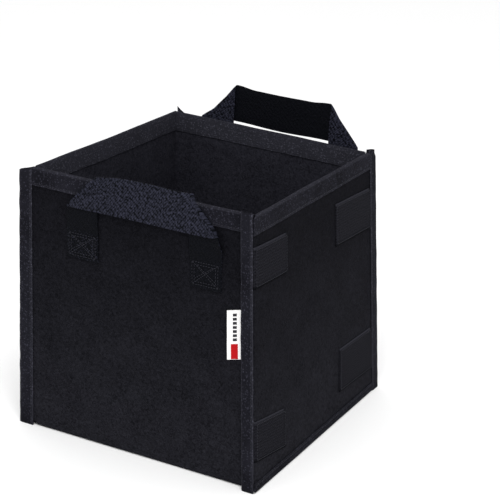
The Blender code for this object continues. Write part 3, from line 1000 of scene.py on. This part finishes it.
def sew_handle(side, outward):
    """One strap folded on a diagonal at both corners, with its box-stitched ends."""
    s, st = sizes(), stitching()
    left, right, foot, fold, lean_out = HANDLES[side]
    place = strap_place(outward, foot + s.sewn_end, lean_out, TUGS[side])
    lines = strap_lines(left, right, foot, fold)
    rows, spots = [], []
    across = 12
    for number, (a, b, normal, u, v) in enumerate(lines):
        face, back, seen = [], [], []
        for k in range(across + 1):
            share = k / across
            at_edge = abs(2 * share - 1) ** 8
            middle = a.lerp(b, share)
            cup = 0.0004 * wander(number * 0.23, share * 2.2, foot * 30)
            thick = s.webbing / 2 * (1 - 0.55 * at_edge)
            middle = middle + normal * (cup if a.z > foot + s.sewn_end + 0.012 else 0)
            face.append(middle + normal * thick)
            back.append(middle - normal * thick)
            # Painted highlights on the sewn ends' yarn tops: strong on the left end, faint on the right.
            painted_sewn_end_highlight = 1 - ease(foot + s.sewn_end - 0.002, foot + s.sewn_end + 0.003, middle.z)
            painted_sewn_end_highlight *= 0.8 if number < len(lines) / 2 else 0.1
            spot = (u[0] + (v[0] - u[0]) * share, u[1] + (v[1] - u[1]) * share, painted_sewn_end_highlight)
            seen.append(spot)
        rows.append(face + back[::-1])
        spots.append(seen + seen[::-1])
    cloth = Cloth()
    cloth.add_rows(rows, spots, place)
    strap = cloth.make(f"{side}_handle_strap", [dark_webbing_look(), pale_webbing_look()])
    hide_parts(f"{side}_handle_loop", f"{side}_handle_left_end", f"{side}_handle_right_end")
    hinge = place(Vector((0, 1.5 * s.gap + s.webbing, foot + s.sewn_end)))
    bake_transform(strap)

    sewing = Cloth()
    inset, proud = 0.0030, s.gap + s.webbing + 0.0001
    for low in (left, right - s.webbing_width):
        for inner in (0.0, 0.0026):
            a, b = low + inset + inner, low + s.webbing_width - inset - inner
            c, d = foot + inset + inner, foot + s.sewn_end - inset * 0.6 - inner
            marks = [((a, c), (b, c)), ((b, c), (b, d)), ((b, d), (a, d)), ((a, d), (a, c)),
                     ((a, c + inner), (b - inner, d)), ((a + inner, d), (b, c + inner))]
            for (x1, z1), (x2, z2) in marks:
                sewing.add_seam((x1, proud, z1), (x2, proud, z2), Y, place, 0.0029)
    thread = sewing.make(f"{side}_handle_thread", [thread_look()])
    attach(thread, "bag", "handle_webbing")


class GROWBAG_OT_handles(bpy.types.Operator):
    """Folds and sews on the two webbing handles"""

    bl_idname = "growbag.handles"
    bl_label = "Webbing handles"

    def execute(self, context):
        sew_handle("front", -Y)
        sew_handle("back", Y)
        return {"FINISHED"}


# --- patches and tab ----------------------------------------------------------------------
def sew_patch(name, plan):
    """One hook-and-loop rectangle with a seam round its border."""
    s = sizes()
    front, back, height, tall, slope = plan
    outward = X if name.startswith("right") else -X
    rise = math.tan(math.radians(slope))
    middle_y = (front + back) / 2
    inset = 0.0024

    bend, bend_starts = 0.0032, lapped_face() - 0.0032

    def on_wall(along, up, off):
        z = height + (along - middle_y) * rise + up
        out = s.gap + off
        turn = max(0.0, -along - bend_starts) / bend
        if turn == 0:
            return outward * (half_width() + out) + Y * along + Z * z
        return (outward * (half_width() - bend + (bend + out) * math.cos(turn))
                - Y * (bend_starts + (bend + out) * math.sin(turn)) + Z * z)

    rows, spots = [], []
    for i, along in enumerate(spaced(front, back, 0.0025)):
        face, under, seen = [], [], []
        for up in spaced(-tall / 2, tall / 2, 0.0025):
            to_edge = min(along - front, back - along, tall / 2 - abs(up))
            puff = 0.00020 * ease(inset, inset + 0.004, to_edge)
            thick = s.patch * (0.35 + 0.45 * ease(0, 0.0020, to_edge))
            lift = 0.0003 * (1 - ease(0, inset, to_edge)) * wander(along * 90, up * 90, slope)
            fray = 0.0003 * (1 - ease(0, 0.001, to_edge))
            jag = fray * wander(along * 400, up * 400, 2.0)
            face.append(on_wall(along, up + jag, thick + puff + abs(lift)))
            under.append(on_wall(along, up + jag, 0.0))
            # Painted highlight along the top edge; painted shadow along the back end and the lower edge.
            edge_fluff_and_painted_light = 0.25 * (1 - ease(0.0003, 0.0020, tall / 2 - up))
            dot_relief_and_painted_shadow = 1.4 * (1 - ease(0.0003, 0.0034, min(back - along, tall / 2 + up)))
            seen.append((along, up, edge_fluff_and_painted_light - dot_relief_and_painted_shadow))
        rows.append(face + under[::-1])
        spots.append(seen + seen[::-1])
    cloth = Cloth()
    cloth.add_rows(rows, spots)
    side, _, end, level = name.split("_")
    piece = cloth.make(f"{side}_{end}_{level}_hook_and_loop", [patch_look()])
    attach(piece, "bag", "hook_and_loop", name)
    sewing = Cloth()
    a, b, c, d = front + inset, back - inset, -tall / 2 + inset, tall / 2 - inset
    top = s.patch * 0.8 + 0.0001
    for one, two in (((a, c), (b, c)), ((b, c), (b, d)), ((b, d), (a, d)), ((a, d), (a, c))):
        sewing.add_seam(on_wall(*one, top), on_wall(*two, top), outward, pitch=0.0029)
    thread = sewing.make(f"{side}_{end}_{level}_patch_thread", [thread_look()])
    attach(thread, "bag", "hook_and_loop")


class GROWBAG_OT_patches(bpy.types.Operator):
    """Sews the hook-and-loop patches on the side walls"""

    bl_idname = "growbag.patches"
    bl_label = "Hook-and-loop patches"

    def execute(self, context):
        for name, plan in PATCHES.items():
            sew_patch(name, plan)
        return {"FINISHED"}


class GROWBAG_OT_tab(bpy.types.Operator):
    """Sews the folded woven tab into the front right seam"""

    bl_idname = "growbag.tab"
    bl_label = "Woven side tab"

    def execute(self, context):
        s = sizes()
        root = half_width() - s.lap_width - 0.0003
        width, low, high, layer, droop = 0.0158, 0.1308, 0.1788, 0.0006, 0.0034

        def off_wall(share, z):
            """The tab stands off the wall more towards its free, folded edge."""
            return s.gap + 0.0016 * share ** 1.5 + 0.0005 * share * wander(z * 60, 4.0)

        def body(cloth, x_low, x_high, z_low, z_high, lift, thick):
            rows, spots = [], []
            for z in spaced(z_low, z_high, 0.002):
                face, back, seen = [], [], []
                for x in spaced(x_low, x_high, 0.001):
                    share = clamp((root - x) / width)
                    off = off_wall(share, z) + lift
                    rounded = thick * (1 - 0.5 * ease(0.95, 1.0, share))
                    height = z - droop * share
                    face.append(Vector((x, -half_width() - off - rounded, height)))
                    back.append(Vector((x, -half_width() - off, height)))
                    seen.append((z, x, 0.0))
                rows.append(face + back[::-1])
                spots.append(seen + seen[::-1])
            cloth.add_rows(rows, spots)

        c = context.scene.grow_bag_colours
        tab = Cloth()
        body(tab, root - width, root - 0.0003, low, high, 0.0, layer)
        seam = settle(Vector((root, -half_width(), (low + high) / 2)))

        def bend(piece):
            """Bakes the piece's place into its mesh."""
            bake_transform(piece)

        piece = tab.make("woven_tab", [tab_look("woven_satin_tab", c.tab, linear(0xDEDDDE))])
        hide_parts("side_label")
        bend(piece)
        block = Cloth()
        body(block, root - 0.0118, root - 0.0048, low + 0.0004, low + 0.0152, layer, 0.0001)
        piece = block.make("woven_tab_block", [tab_look("woven_satin_block", c.tab_block,
                                                       linear(0x8E1119))])
        bend(piece)
        marks = Cloth()
        for i in range(7):
            start = low + 0.0180 + i * 0.0040
            body(marks, root - 0.0098, root - 0.0058, start, start + 0.0027, layer, 0.0001)
        piece = marks.make("woven_tab_marks", [tab_look("woven_satin_marks", c.tab_marks,
                                                       linear(0x55555C))])
        bend(piece)
        return {"FINISHED"}


# --- studio -------------------------------------------------------------------------------
def soft_light(name, place, target, size, power):
    """A large square lamp at place, facing target."""
    lamp = bpy.data.lights.new(name, "AREA")
    lamp.shape, lamp.size, lamp.energy = "SQUARE", size, power
    holder = bpy.data.objects.new(name, lamp)
    holder.location = place
    holder.rotation_euler = (Vector(target) - Vector(place)).to_track_quat("-Z", "Y").to_euler()
    bpy.context.scene.collection.objects.link(holder)


class GROWBAG_OT_stage(bpy.types.Operator):
    """Sets out the pale floor, the soft lights and the camera"""

    bl_idname = "growbag.stage"
    bl_label = "Studio"

    def execute(self, context):
        scene, g = context.scene, context.scene.grow_bag_stage
        mesh = bpy.data.meshes.new("studio_floor")
        reach = 6.0
        below = -0.0002
        corners = [(-reach, -reach, below), (reach, -reach, below), (reach, reach, below),
                   (-reach, reach, below)]
        mesh.from_pydata(corners, [], [(0, 1, 2, 3)])
        made, tree, shader = start_material("matt_studio_paper")
        paper = add_node(tree, "ShaderNodeTexNoise", {"Scale": 3.0}).outputs["Fac"]
        colour = add_node(tree, "ShaderNodeMix", {
            "Factor": paper, "A": scene.grow_bag_colours.floor, "B": linear(0xFFFFFF)},
            data_type="RGBA").outputs["Result"]
        tree.links.new(colour, shader.inputs["Base Color"])
        shader.inputs["Roughness"].default_value = 0.9
        shader.inputs["Specular IOR Level"].default_value = 0.1
        mesh.materials.append(made)
        floor = bpy.data.objects.new("studio_floor", mesh)
        scene.collection.objects.link(floor)

        world = bpy.data.worlds.new("studio_sky")
        world.use_nodes = True
        backdrop = world.node_tree.nodes["Background"]
        backdrop.inputs["Color"].default_value = (1, 1, 1, 1)
        backdrop.inputs["Strength"].default_value = g.sky
        scene.world = world
        middle = (0, 0, g.aim_height)
        soft_light("key_softbox", (0.60, -0.95, 1.75), middle, 0.9, g.key_power)
        soft_light("fill_softbox", (1.9, -0.4, 0.7), middle, 1.2, g.fill_power)
        scene.view_settings.view_transform = "Standard"

        back = Vector((math.sin(g.azimuth) * math.cos(g.elevation),
                       -math.cos(g.azimuth) * math.cos(g.elevation), math.sin(g.elevation)))
        right = Z.cross(back).normalized()
        up = back.cross(right)
        turned_right = right * math.cos(g.roll) + up * math.sin(g.roll)
        turned_up = up * math.cos(g.roll) - right * math.sin(g.roll)
        eye = Z * g.aim_height + back * g.distance + turned_right * g.aside + turned_up * g.above
        lens = bpy.data.cameras.new("studio_camera")
        lens.lens, lens.sensor_width = g.lens, 36.0
        camera = bpy.data.objects.new("studio_camera", lens)
        spin = Matrix((turned_right, turned_up, back)).transposed()
        camera.matrix_world = Matrix.Translation(eye) @ spin.to_4x4()
        scene.collection.objects.link(camera)
        scene.camera = camera
        return {"FINISHED"}


class GROWBAG_PT_sewing(bpy.types.Panel):
    """Sizes, colours and steps of the grow bag"""

    bl_idname = "GROWBAG_PT_sewing"
    bl_label = "Grow Bag"
    bl_space_type = "VIEW_3D"
    bl_region_type = "UI"
    bl_category = "Grow Bag"

    def draw(self, context):
        for group in GROUPS:
            box = self.layout.box()
            box.label(text=GROUPS[group].__doc__)
            for name in GROUPS[group].__annotations__:
                box.prop(getattr(context.scene, group), name)
        for step in STEPS:
            self.layout.operator(step.bl_idname)


GROUPS = {
    "grow_bag": GrowBagSizes,
    "grow_bag_stitching": GrowBagStitching,
    "grow_bag_colours": GrowBagColours,
    "grow_bag_stage": GrowBagStage,
}
STEPS = (GROWBAG_OT_walls, GROWBAG_OT_rim, GROWBAG_OT_seams, GROWBAG_OT_base, GROWBAG_OT_handles,
         GROWBAG_OT_patches, GROWBAG_OT_tab, GROWBAG_OT_stage)


def register():
    for kind in (*GROUPS.values(), *STEPS, GROWBAG_PT_sewing):
        bpy.utils.register_class(kind)
    for name, group in GROUPS.items():
        setattr(bpy.types.Scene, name, bpy.props.PointerProperty(type=group))


def unregister():
    for name in GROUPS:
        delattr(bpy.types.Scene, name)
    for kind in reversed((*GROUPS.values(), *STEPS, GROWBAG_PT_sewing)):
        bpy.utils.unregister_class(kind)


def main():
    """Sews the bag and sets the stage."""
    register()
    for step in STEPS:
        area, name = step.bl_idname.split(".")
        if getattr(getattr(bpy.ops, area), name)() != {"FINISHED"}:
            raise RuntimeError(f"{step.bl_label} didn't finish")


if __name__ == "__main__":
    main()
